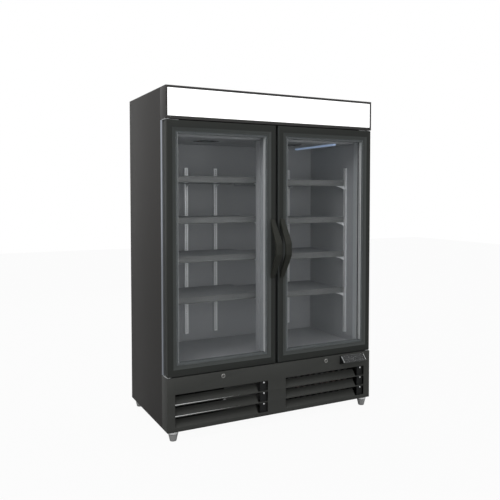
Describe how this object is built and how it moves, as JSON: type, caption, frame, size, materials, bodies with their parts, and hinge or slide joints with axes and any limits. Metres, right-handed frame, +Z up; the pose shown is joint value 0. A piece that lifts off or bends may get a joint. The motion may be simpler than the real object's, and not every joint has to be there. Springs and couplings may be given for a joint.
{
  "type": "ice merchandiser freezer",
  "caption": "Upright glass-door merchandiser freezer with hinged doors, bowed handles, lit header, wire shelves, louvred machine panel and levelling feet.",
  "frame": {"origin": "on the floor, under the middle of the outline with the doors shut", "axes": "+Z up, -Y out of the doors, +X to the right of a person facing the doors"},
  "size_m": [1.37, 0.79, 1.956],
  "materials": {
    "cabinet_paint": "satin powder coat",
    "frame_paint": "satin powder coat",
    "door_paint": "black powder coat",
    "plain_steel": "galvanised",
    "foam": "rigid foam",
    "liner": "satin",
    "sign": "translucent acrylic",
    "lamp": "frosted",
    "screw": "zinc plated",
    "glass": "clear",
    "spacer": "anodised",
    "gasket": "matte",
    "handle": "moulded",
    "shelf_coat": "coated wire",
    "strip": "extruded",
    "standard": "zinc plated",
    "evaporator_plastic": "moulded",
    "fan_plastic": "moulded",
    "coil": "bare fins",
    "compressor": "gloss enamel",
    "control_plastic": "moulded",
    "display": "smoked",
    "flap": "clear plastic",
    "lock": "plated",
    "foot": "plated",
    "black_plastic": "moulded"
  },
  "bodies": {
    "cabinet": {"side_panel_left": "cabinet_paint", "side_panel_right": "cabinet_paint", "top_panel": "cabinet_paint", "rear_panel": "plain_steel", "base_pan": "plain_steel", "insulation": "foam", "inner_liner": "liner", "face_frame": "frame_paint", "mullion": "frame_paint", "header_housing": "cabinet_paint", "sign_panel": "sign", "sign_lamp": "lamp", "grille_panel": "cabinet_paint", "grille_screws": "screw", "lock_housings": "lock", "controller_housing": "control_plastic", "controller_display": "display", "hinge_plates": "frame_paint", "price_strips": "strip", "shelf_standards": "standard", "shelf_brackets": "standard", "evaporator_cover": "evaporator_plastic", "evaporator_fans": "fan_plastic", "evaporator_coil": "coil", "ceiling_lamp": "lamp", "condenser_coil": "coil", "condenser_fan_shroud": "plain_steel", "compressor": "compressor", "power_inlet": "black_plastic", "shelf_left_1": "shelf_coat", "shelf_left_2": "shelf_coat", "shelf_left_3": "shelf_coat", "shelf_left_4": "shelf_coat", "shelf_right_1": "shelf_coat", "shelf_right_2": "shelf_coat", "shelf_right_3": "shelf_coat", "shelf_right_4": "shelf_coat"},
    "door_left": {"door_frame_left": "door_paint", "glass_panes_left": "glass", "glass_spacers_left": "spacer", "gasket_left": "gasket", "handle_left": "handle"},
    "lock_left": {"lock_plug_left": "lock"},
    "front_foot_left": {"foot_front_left": "foot"},
    "rear_foot_left": {"foot_rear_left": "foot"},
    "door_right": {"door_frame_right": "door_paint", "glass_panes_right": "glass", "glass_spacers_right": "spacer", "gasket_right": "gasket", "handle_right": "handle"},
    "lock_right": {"lock_plug_right": "lock"},
    "front_foot_right": {"foot_front_right": "foot"},
    "rear_foot_right": {"foot_rear_right": "foot"},
    "condenser_fan": {"condenser_blades": "fan_plastic"},
    "evaporator_fan_left": {"evaporator_blades_left": "fan_plastic"},
    "evaporator_fan_right": {"evaporator_blades_right": "fan_plastic"},
    "flap": {"controller_flap": "flap"},
    "button_1": {"controller_button_1": "black_plastic"},
    "button_2": {"controller_button_2": "black_plastic"},
    "button_3": {"controller_button_3": "black_plastic"}
  },
  "joints": [
    {"name": "door_left_hinge", "type": "hinge", "parent": "cabinet", "child": "door_left", "pos_m": [-0.67, -0.288, 1], "axis": [0, 0, -1], "range_deg": [0, 105], "stiffness_Nm_per_rad": 4, "springref_deg": -34.38},
    {"name": "lock_left_turn", "type": "hinge", "parent": "cabinet", "child": "lock_left", "pos_m": [-0.35, -0.306, 0.3305], "axis": [0, -1, 0], "range_deg": [0, 90]},
    {"name": "front_foot_left_screw", "type": "slide", "parent": "cabinet", "child": "front_foot_left", "axis": [0, 0, -1], "range_m": [0, 0.015]},
    {"name": "rear_foot_left_screw", "type": "slide", "parent": "cabinet", "child": "rear_foot_left", "axis": [0, 0, -1], "range_m": [0, 0.015]},
    {"name": "door_right_hinge", "type": "hinge", "parent": "cabinet", "child": "door_right", "pos_m": [0.67, -0.288, 1], "axis": [0, 0, 1], "range_deg": [0, 105], "stiffness_Nm_per_rad": 4, "springref_deg": -34.38},
    {"name": "lock_right_turn", "type": "hinge", "parent": "cabinet", "child": "lock_right", "pos_m": [0.35, -0.306, 0.3305], "axis": [0, -1, 0], "range_deg": [0, 90]},
    {"name": "front_foot_right_screw", "type": "slide", "parent": "cabinet", "child": "front_foot_right", "axis": [0, 0, -1], "range_m": [0, 0.015]},
    {"name": "rear_foot_right_screw", "type": "slide", "parent": "cabinet", "child": "rear_foot_right", "axis": [0, 0, -1], "range_m": [0, 0.015]},
    {"name": "condenser_fan_spin", "type": "hinge", "parent": "cabinet", "child": "condenser_fan", "pos_m": [0.35, -0.14, 0.167], "axis": [0, 1, 0], "continuous": true},
    {"name": "evaporator_fan_left_spin", "type": "hinge", "parent": "cabinet", "child": "evaporator_fan_left", "pos_m": [-0.3, 0.065, 1.74], "axis": [0, 0, 1], "continuous": true},
    {"name": "evaporator_fan_right_spin", "type": "hinge", "parent": "cabinet", "child": "evaporator_fan_right", "pos_m": [0.3, 0.065, 1.74], "axis": [0, 0, 1], "continuous": true},
    {"name": "flap_hinge", "type": "hinge", "parent": "cabinet", "child": "flap", "pos_m": [0.542, -0.31488, 0.34834], "axis": [-1, 0, 0], "range_deg": [0, 55]},
    {"name": "button_1_press", "type": "slide", "parent": "cabinet", "child": "button_1", "axis": [0, 0.7071, -0.7071], "range_m": [0, 0.0015], "stiffness_N_per_m": 600, "springref_m": -0.001},
    {"name": "button_2_press", "type": "slide", "parent": "cabinet", "child": "button_2", "axis": [0, 0.7071, -0.7071], "range_m": [0, 0.0015], "stiffness_N_per_m": 600, "springref_m": -0.001},
    {"name": "button_3_press", "type": "slide", "parent": "cabinet", "child": "button_3", "axis": [0, 0.7071, -0.7071], "range_m": [0, 0.0015], "stiffness_N_per_m": 600, "springref_m": -0.001}
  ]
}
